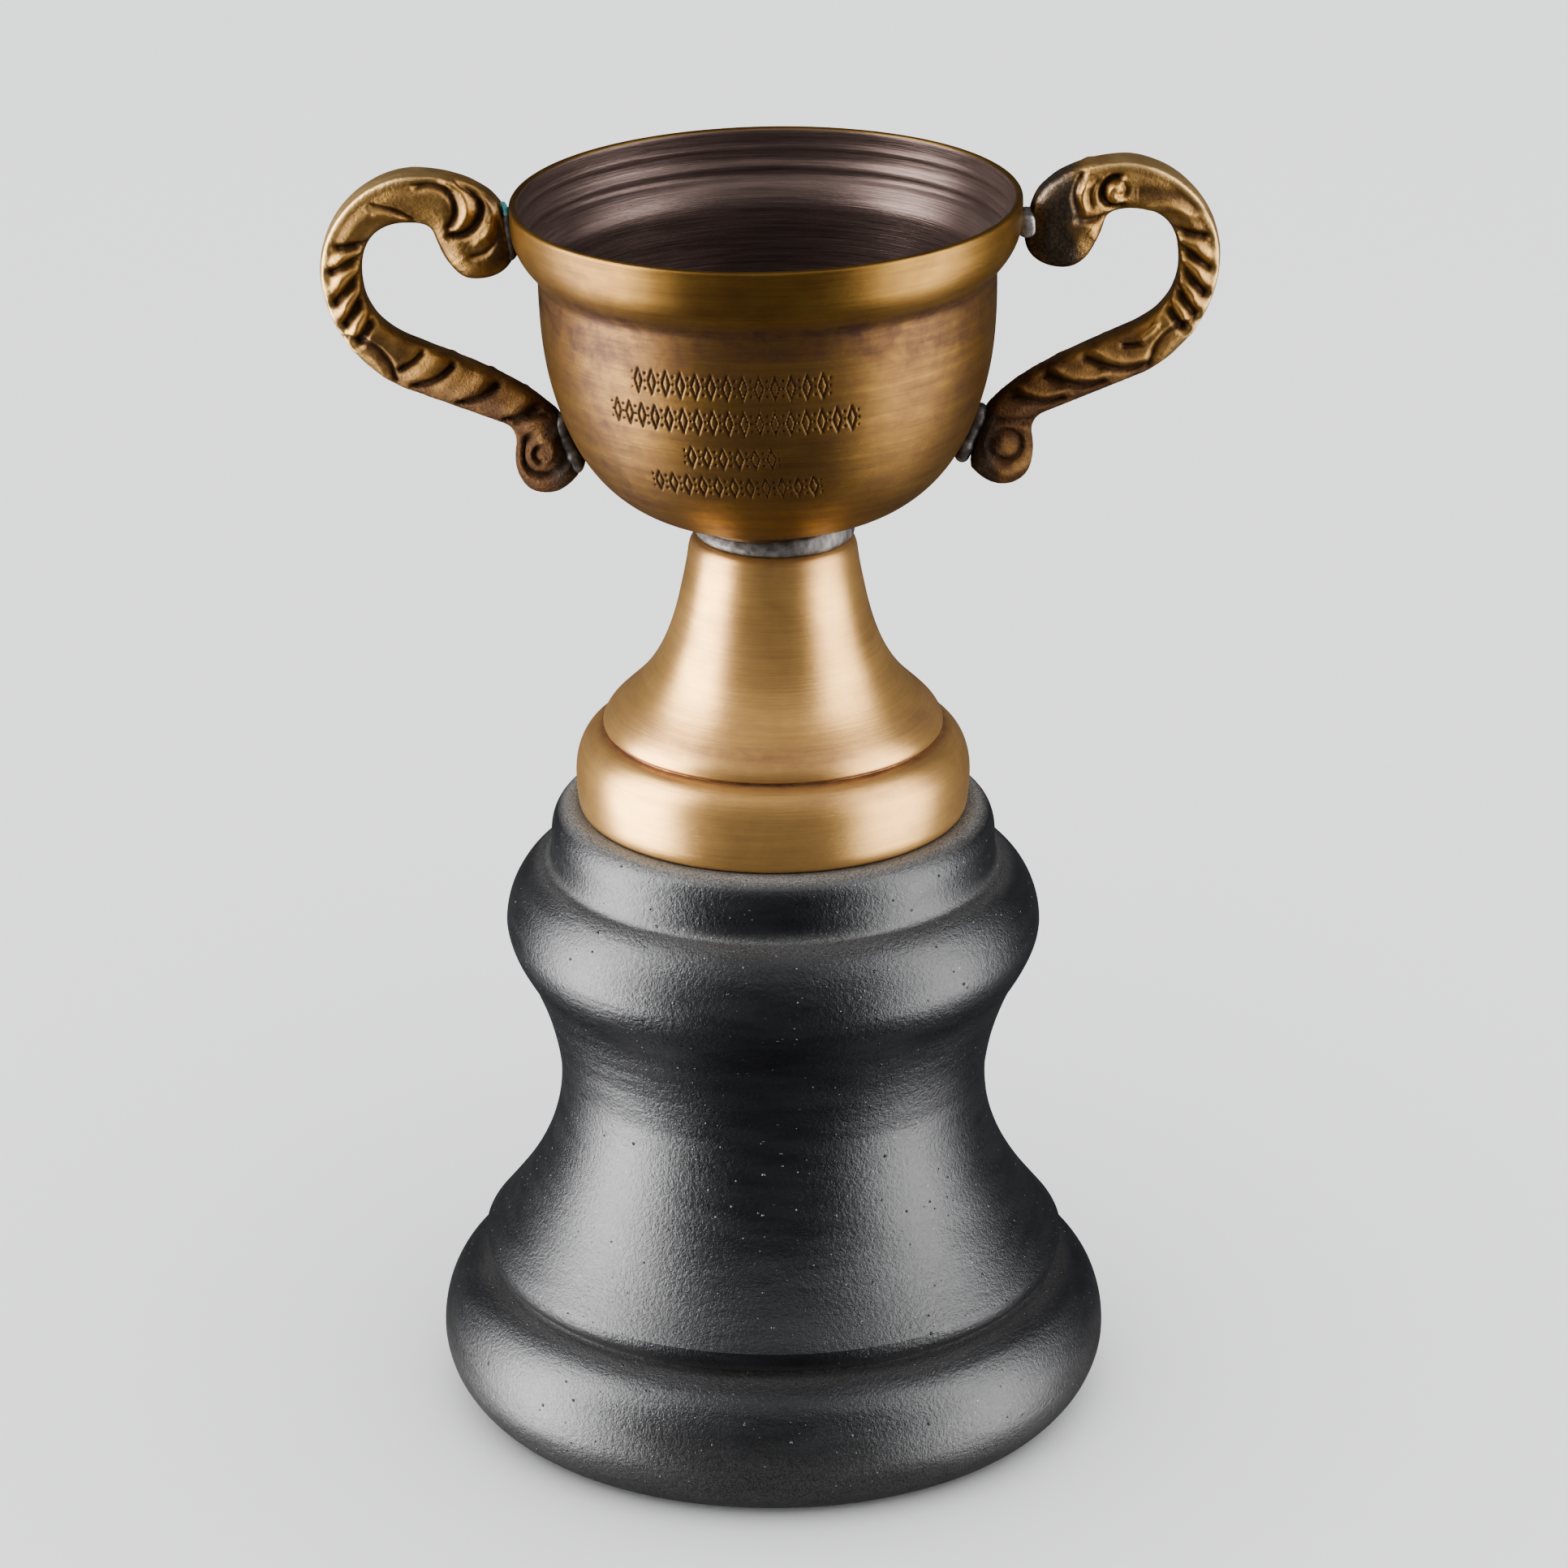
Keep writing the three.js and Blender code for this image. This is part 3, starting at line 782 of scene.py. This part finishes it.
def bud():
    """The end of the upper arm on the other face: a curled bud between two leaves, over the volute."""
    seed = (40.0, 152.1)
    return [
        (0.75, 0.45, *arc(LEAF, 4.1, 140, 205)),
        (-0.42, 0.42, *arc(LEAF, 3.2, 150, 205)),
        (0.35, 0.32, *arc(LEAF, 2.3, 125, 200)),
        (0.95, 0.42, *arc(seed, 1.8, 80, 285)),
        (-0.75, 0.70, *arc(seed, 0.7, 100, 270)),
        (0.45, 0.34, *arc(seed, 0.3, -70, 60, 1.0)),
        (0.70, 0.45, polar(VOLUTE, 2.7, 55), polar(VOLUTE, 5.8, 24)),
        (-0.35, 0.80, *arc(VOLUTE, 3.0, 20, 0, 0.8)),
        (0.50, 0.90, *arc(BOW_CENTRE, 9.3, 80, 40, 1.7)),
        (-0.32, 0.50, *arc(BOW_CENTRE, 6.8, 80, 33, 4.2)),
        (-0.35, 0.35, *arc(BOW_CENTRE, 6.2, 85, 73)),
        (-0.40, 0.36, *arc(BOW_CENTRE, 8.6, 283, 300, -0.8)),
        (0.50, 0.32, *arc(BOW_CENTRE, 9.3, 270, 282)),
    ]


def closed_scroll():
    return [
        (0.45, 0.34, *arc(SCROLL_EYE, 4.8, 50, 118)),
        (0.80, 0.50, *arc(SCROLL_EYE, 2.6, 55, -220)),
        (0.50, 0.34, *arc(SCROLL_EYE, 1.0, 60, -70)),
        (-0.30, 0.55, *arc(SCROLL_EYE, 1.9, 85, 270, -1.4)),
    ]


def open_scroll():
    return [
        (0.45, 0.40, polar(SCROLL_EYE, 4.1, 130), polar(SCROLL_EYE, 4.1, 45)),
        (0.50, 0.42, *arc(SCROLL_EYE, 1.8, 215, -125)),
        (-0.30, 1.00, *arc(SCROLL_EYE, 0.3, 0, 180)),
        (0.40, 0.45, *arc(SCROLL_EYE, 3.0, 145, 205)),
        (-0.35, 0.60, *arc(SCROLL_EYE, 3.3, 215, 400)),
    ]


# The rope winds differently on the casting's face on +Y and on the one on -Y.
ROPE_TURNS = {
    1: ((25, 47), (7, 34), (-15, 10), (-31, -14), (-45, -38)),
    -1: ((21, 47), (-2, 26), (-20, 2), (-35, -22), (-47, -42)),
}
FACES = {
    1: rope(ROPE_TURNS[1]) + corner_leaf() + palmette() + gadroons() + closed_scroll(),
    -1: rope(ROPE_TURNS[-1]) + corner_leaf() + bud() + flutes() + open_scroll(),
}


def nearest_on_segment(x, z, start, end):
    """Where on a segment the nearest point to (x, z) lies, from 0 to 1, and how far away it is."""
    dx, dz = end[0] - start[0], end[1] - start[1]
    t = np.clip(((x - start[0]) * dx + (z - start[1]) * dz) / (dx * dx + dz * dz), 0, 1)
    return t, np.hypot(x - start[0] - t * dx, z - start[1] - t * dz)


def carving(x, z, strokes):
    """How far a face is cut back, in mm, from gentle channels round each of its carved lines."""
    total = np.zeros_like(x)
    for depth, width, *points in strokes:
        line = smooth_curve(points, 5)
        spots = np.linspace(0, 1, len(line))
        nearest = np.full_like(x, 1e9)
        strength = np.zeros_like(x)
        for start, end, s, e in zip(line, line[1:], spots, spots[1:]):
            t, distance = nearest_on_segment(x, z, start, end)
            closer = distance < nearest
            nearest = np.where(closer, distance, nearest)
            along = s + t * (e - s)
            faded = np.clip(4 * np.sin(math.pi * (0.06 + 0.88 * along)), 0, 1)
            strength = np.where(closer, faded, strength)
        total += depth * strength * near(nearest, 0, width)
    return np.clip(total, -0.60, 0.85)


def remeshed(points, faces, voxel, smoothing):
    """Points, faces and normals of the outer skin of overlapping closed shapes, in even quads."""
    mesh = bpy.data.meshes.new("rough")
    mesh.from_pydata(np.asarray(points, float).tolist(), [], faces)
    rough = bpy.data.objects.new("rough", mesh)
    bpy.context.scene.collection.objects.link(rough)
    skin = rough.modifiers.new("skin", "REMESH")
    skin.mode = "VOXEL"
    skin.voxel_size = voxel
    soften = rough.modifiers.new("soften", "SMOOTH")
    soften.factor = 0.5
    soften.iterations = smoothing
    done = rough.evaluated_get(bpy.context.evaluated_depsgraph_get()).to_mesh()
    co = np.empty(len(done.vertices) * 3)
    normals = np.empty(len(done.vertices) * 3)
    done.vertices.foreach_get("co", co)
    done.vertices.foreach_get("normal", normals)
    quads = [tuple(p.vertices) for p in done.polygons]
    rough.to_mesh_clear()
    bpy.data.objects.remove(rough)
    bpy.data.meshes.remove(mesh)
    return co.reshape(-1, 3), quads, normals.reshape(-1, 3)


def handle_skin():
    """The handle as it comes from the mould, before its ornament."""
    edge = outline(*HANDLE_OUTLINE, 0.45)[:0:-1]
    loop = np.vstack([edge[-1], edge, edge[0]])
    out = sideways(loop)[1:-1]
    steps = np.linspace(-math.pi / 2, math.pi / 2, 13)
    rings = []
    for step in steps:
        inset = 1.5 * (1 - math.cos(step) ** 0.8)
        depth = math.copysign(HANDLE_HALF_DEPTH - 1.5 * (1 - abs(math.sin(step)) ** 1.1), step)
        flat = edge - inset * out
        rings.append(np.column_stack([flat[:, 0], np.full(len(flat), depth), flat[:, 1]]))
    points = np.vstack(rings)
    faces = ring_faces(len(rings), len(edge), flipped=True)
    faces.append(list(range(len(edge))))
    faces.append(list(range(len(points) - 1, len(points) - len(edge) - 1, -1)))
    return points, faces


def distance_to_edge(x, z):
    edge = outline(*HANDLE_OUTLINE, 0.8)[1:]
    nearest = np.full_like(x, 1e9)
    for start, end in zip(edge, np.roll(edge, -1, 0)):
        nearest = np.minimum(nearest, nearest_on_segment(x, z, start, end)[1])
    return nearest


def handles():
    points, faces = handle_skin()
    skin, quads, normals = remeshed(points, faces, 0.13, 8)
    x, y, z = skin.T
    facing = ease(0.2, 0.75, np.abs(normals[:, 1]))
    from_edge = distance_to_edge(x, z)
    relief = np.where(y > 0, carving(x, z, FACES[1]), carving(x, z, FACES[-1]))
    relief *= 0.35 + 0.65 * ease(0.0, 0.8, from_edge)
    crown = 0.45 * ease(0.6, 2.6, from_edge)
    from_centre = np.hypot(x - RAISED_RIM_CENTRE[0], z - RAISED_RIM_CENTRE[1])
    bow = ease(9.5, 11.0, from_centre) * ease(131, 137, z) * ease(35, 41, x)
    rim = 0.30 * bow * near(from_edge, 0.55, 0.5)
    grain = ripple(1.3 * x, 1.3 * y, 1.3 * z, seed=23)
    edge = bow * (1 - ease(0.4, 1.2, from_edge))
    low = 1 - ease(126, 136, z)
    pitting = (0.012 + 0.022 * low) * ripple(6 * x, 6 * y, 6 * z, seed=29, waves=9)
    for name, side in (("right_handle", 1), ("left_handle", -1)):
        reach = TINNED_TO[side]
        tinned = (1 - ease(reach - 2.0, reach + 0.8, x + 0.8 * grain)) * ease(138, 142, z)
        at_scroll = (1 - ease(-0.4, 1.6, x - 25.1 + 0.9 * grain)) * (1 - ease(125, 128, z))
        tinned = np.maximum(tinned, 0.9 * at_scroll)
        left_in = 1 - 0.75 * tinned  # solder has filled the ornament there
        push = (crown + rim - relief * left_in) * facing + 0.04 * grain + pitting
        carved = (skin + normals * push[:, None] + (HANDLE_SHIFT[side], 0, 0)) * (side, side, 1)
        masks = {"cast": skin, "relief": relief * facing * left_in, "edge": edge}
        masks.update({"tinned": tinned, "low": low})
        piece = object_from(name, leaning(carved), quads, masks, 60)
        place(piece, looks["cast"], "cast_brass", name)


# ---- solder ----
def ball(centre, radii, rows=10, columns=16):
    tilt = np.linspace(0, math.pi, rows + 1)[1:-1]
    turn = round_steps(columns)
    t, a = np.meshgrid(tilt, turn, indexing="ij")
    points = np.stack([np.sin(t) * np.cos(a), np.sin(t) * np.sin(a), np.cos(t)], -1).reshape(-1, 3)
    count = len(points)
    faces = ring_faces(rows - 1, columns, flipped=True)
    faces += pole_faces(0, columns, count)
    faces += pole_faces(count - columns, columns, count + 1, flipped=True)
    points = np.vstack([points, [0, 0, 1], [0, 0, -1]])
    return points * radii + centre, faces


def lump(name, drops, roughness, seed, move=None, green=None):
    """Solder that has run together out of several drops, (centre, radii) each."""
    points = []
    faces = []
    for centre, radii in drops:
        start = sum(len(p) for p in points)
        p, f = ball(centre, radii)
        points.append(p)
        faces += [tuple(start + i for i in face) for face in f]
    skin, quads, normals = remeshed(np.vstack(points), faces, 0.13, 24)
    grain = ripple(1.4 * skin[:, 0], 1.4 * skin[:, 1], 1.4 * skin[:, 2], seed=seed)
    carved = skin + normals * (roughness * grain)[:, None]
    salts = green(skin) if green else 0 * grain
    return object_from(name, move(carved) if move else carved, quads, {"cast": skin, "green": salts}, 70)


def bead(start, end, radii, uneven=0.0):
    """Nine drops in a row that run together into one bead; uneven makes them differ in size."""
    drops = []
    for k, t in enumerate(np.linspace(0, 1, 9)):
        size = 1 + uneven * math.sin(2.3 * k)
        drops.append((start + (np.array(end) - start) * t, np.multiply(radii, size)))
    return drops


# Solder at the joints of each handle, in the handle's own frame.
UPPER_RIGHT = bead((30.1, -0.4, 148.8), (30.3, -0.4, 147.5), (1.6, 2.05, 1.15))
UPPER_LEFT = bead((29.8, 0.0, 150.0), (29.6, 0.0, 145.8), (0.9, 2.1, 1.0))
CRUST = [
    ((29.9, 1.7, 151.5), (0.4, 0.4, 0.5)),
    ((30.2, 1.4, 152.0), (0.45, 0.35, 0.35)),
    ((29.8, 1.9, 150.9), (0.4, 0.35, 0.4)),
]
LOWER_RIGHT = bead((24.5, 0.0, 125.0), (22.3, 0.0, 120.2), (1.0, 1.75, 1.2), 0.07)
LOWER_LEFT = bead((24.5, 0.2, 125.0), (22.8, 0.3, 120.0), (1.1, 2.0, 1.2), 0.08)


def crusted(skin):
    """Verdigris on the top of a joint."""
    return ease(150.4, 151.2, skin[:, 2])


def handle_solders():
    for name, drops, side, look, seed in (
        ("right_upper_solder", UPPER_RIGHT, 1, "solder", 31),
        ("right_lower_solder", LOWER_RIGHT, 1, "wiped", 37),
        ("left_upper_solder", UPPER_LEFT + CRUST, -1, "wiped", 41),
        ("left_lower_solder", LOWER_LEFT, -1, "wiped", 43),
    ):
        placed = [(np.multiply(centre, (side, side, 1)), radii) for centre, radii in drops]
        green = crusted if name == "left_upper_solder" else None
        place(lump(name, placed, 0.09, seed, leaning, green), looks[look], "solder", name)


def neck_solder():
    """A collar of solder between foot and cup, thickest and highest on the right."""
    loop = outline((7.6, 110.75), [
        (8.6, 110.75),
        (9.35, 110.8, 9.6, 111.4, 9.3, 111.9),
        (9.1, 112.3, 8.95, 112.5, 8.7, 112.55),
        (7.6, 112.55),
        (7.6, 110.75),
    ], 0.12)

    def uneven(radius, height, angle):
        on_side = ease(8.4, 8.9, radius)
        thick = 0.16 + 0.32 * (0.5 + 0.5 * np.cos(angle - 0.15))
        lumps = 0.10 * ripple(6 * np.cos(angle), 6 * np.sin(angle), 1.5 * height, seed=47)
        return (thick - 0.28 + lumps) * on_side

    def masks(radius, height, angle):
        cast = np.stack([radius * np.cos(angle), radius * np.sin(angle), height], -1)
        return {"cast": cast, "green": 0 * radius}

    def swollen(points):
        """More solder on top, most of it on the right."""
        swell = ease(0.1, 1.0, points[:, 2] - 111.3) * ease(-0.2, 1.0, points[:, 0] / 9)
        return points + np.outer(swell, (0, 0, 0.9))

    made = turned("neck_solder", loop, round_steps(200), uneven, masks, swollen)
    place(made, looks["wiped"], "solder", "neck_solder")


# ---- fixings inside ----
def hex_nut(name, across, low, high, bore):
    """A hexagon nut, its corners chamfered top and bottom."""
    flat = across * math.cos(math.pi / 6) / 2
    loop = [(bore, low), (flat, low), (across / 2, low + 0.35), (across / 2, high - 0.35), (flat, high),
            (bore, high), (bore, low)]

    def hexagon(radius, angle):
        side = flat / np.cos(np.mod(angle, math.pi / 3) - math.pi / 6)
        return np.minimum(side, radius)

    made = turned(name, np.array(loop, float), round_steps(96), plan=hexagon)
    place(made, looks["steel"], "steel", name)


def tie_rod(radius, low, high):
    """A threaded rod."""
    pitch = 0.7
    depth = 0.36
    profile = outline((0, low), [(radius - 0.4, low), (radius, low + 0.4), (radius, high - 0.4),
                                 (radius - 0.4, high), (0, high)], 0.14)

    def thread(r, height, angle):
        climb = np.mod(height / pitch - angle / (2 * math.pi), 1)
        return -depth * np.abs(2 * climb - 1) * (r > radius - 0.1)

    made = turned("tie_rod", profile, round_steps(40), thread)
    place(made, looks["steel"], "steel", "tie_rod")


def base_washer():
    bore, edge, low, high = 2.3, 6.0, 7.7, 8.7
    loop = [(bore, low), (edge - 0.2, low), (edge, low + 0.2), (edge, high - 0.2), (edge - 0.2, high),
            (bore, high), (bore, low)]
    made = turned("base_washer", np.array(loop, float), round_steps(72))
    place(made, looks["steel"], "steel", "base_washer")


def cross_strap():
    """The bar across the foot that the rod pulls down on, its edges rounded."""
    half, wide, low, high, bore = 21.4, 4.5, 82.0, 83.2, 2.3
    angles = round_steps(144)
    loop = [(bore, low), (half, low), (half + 0.1, low + 0.1), (half + 0.1, high - 0.1), (half, high),
            (bore, high), (bore, low)]

    def bar(radius, angle):
        along = np.abs(np.cos(angle)) * radius / half
        across = np.abs(np.sin(angle)) * radius / wide
        return np.where(radius > bore, radius / np.maximum(along, across) * radius / half, radius)

    made = turned("cross_strap", np.array(loop, float), angles, plan=bar)
    place(made, looks["foot"], "foot_brass", "cross_strap")


def strap_solders():
    for name, side in (("right_strap_solder", 1), ("left_strap_solder", -1)):
        drops = bead((side * 20.9, -2.0, 80.9), (side * 20.9, 2.0, 80.9), (0.8, 1.2, 0.9))
        place(lump(name, drops, 0.06, 53 + side), looks["solder"], "solder", name)


# ---- the scene ----
def build():
    felt_pad()
    wooden_base()
    foot()
    neck_solder()
    cup()
    handles()
    handle_solders()
    base_washer()
    hex_nut("base_nut", 8.1, 4.2, 7.4, 2.1)
    tie_rod(2.0, 3.2, 87.7)
    hex_nut("strap_nut", 8.1, 83.5, 86.7, 2.1)
    cross_strap()
    strap_solders()


def studio():
    mesh = bpy.data.meshes.new("floor")
    mesh.from_pydata([(-4, -3, 0), (4, -3, 0), (4, 6, 0), (-4, 6, 0)], [], [(0, 1, 2, 3)])
    ground = bpy.data.objects.new("floor", mesh)
    bpy.context.scene.collection.objects.link(ground)
    look, tree = new_material("floor_paper")
    finish_material(tree, {"Base Color": (0.88, 0.87, 0.85, 1), "Roughness": 0.8})
    mesh.materials.append(look)
    # The gloss of the trophy shows dark surroundings and the two boxes, as if it stood on a black cloth.
    ground.visible_glossy = False
    ground.visible_shadow = False
    world = bpy.data.worlds.new("studio")
    world.use_nodes = True
    tree = world.node_tree
    in_gloss = node(tree, "LightPath").outputs["Is Glossy Ray"]
    strength = scaled(tree, in_gloss, GLOSS_LIGHT - FLOOR_LIGHT, FLOOR_LIGHT)
    tree.links.new(strength, tree.nodes["Background"].inputs["Strength"])
    tree.nodes["Background"].inputs["Color"].default_value = (0.94, 0.96, 1.0, 1)
    bpy.context.scene.world = world
    bpy.context.scene.view_settings.view_transform = "AgX"
    bpy.context.scene.view_settings.look = "AgX - High Contrast"
    # The tall boxes reach below the floor, to show in the rolls' lower sides, so they don't light it.
    all_but_floor = bpy.data.collections.new("all_but_floor")
    all_but_floor.objects.link(ground)
    all_but_floor.collection_objects[0].light_linking.link_state = "EXCLUDE"
    for box in (
        soft_box("left_box", (-0.60, -0.08, 0.22), (0.50, 1.30), 6.4),
        soft_box("right_box", (0.58, -0.15, 0.22), (0.50, 1.30), 3.6),
    ):
        box.light_linking.receiver_collection = all_but_floor
    soft_box("top_box", (0.0, -0.55, 1.10), (1.20, 0.90), 0.45)


def soft_box(name, position, size, radiance):
    """An evenly lit rectangle that faces the cup."""
    lamp = bpy.data.lights.new(name, "AREA")
    lamp.shape = "RECTANGLE"
    lamp.size, lamp.size_y = size
    lamp.energy = radiance * math.pi * size[0] * size[1]
    box = bpy.data.objects.new(name, lamp)
    box.visible_camera = False
    bpy.context.scene.collection.objects.link(box)
    box.location = position
    away = Vector(position) - Vector((0, 0, position[2] if abs(position[0]) > 0.3 else 0.1))
    box.rotation_euler = away.to_track_quat("Z", "Y").to_euler()
    return box


def camera():
    lens = bpy.data.cameras.new("camera")
    lens.lens = FOCAL_LENGTH
    lens.sensor_width = SENSOR_WIDTH
    lens.clip_start = 0.01
    seen_from = bpy.data.objects.new("camera", lens)
    bpy.context.scene.collection.objects.link(seen_from)
    seen_from.location = Vector(CAMERA_PLACE) * MM
    seen_from.rotation_euler = (CAMERA_TILT, 0, 0)
    bpy.context.scene.camera = seen_from


build()
studio()
camera()
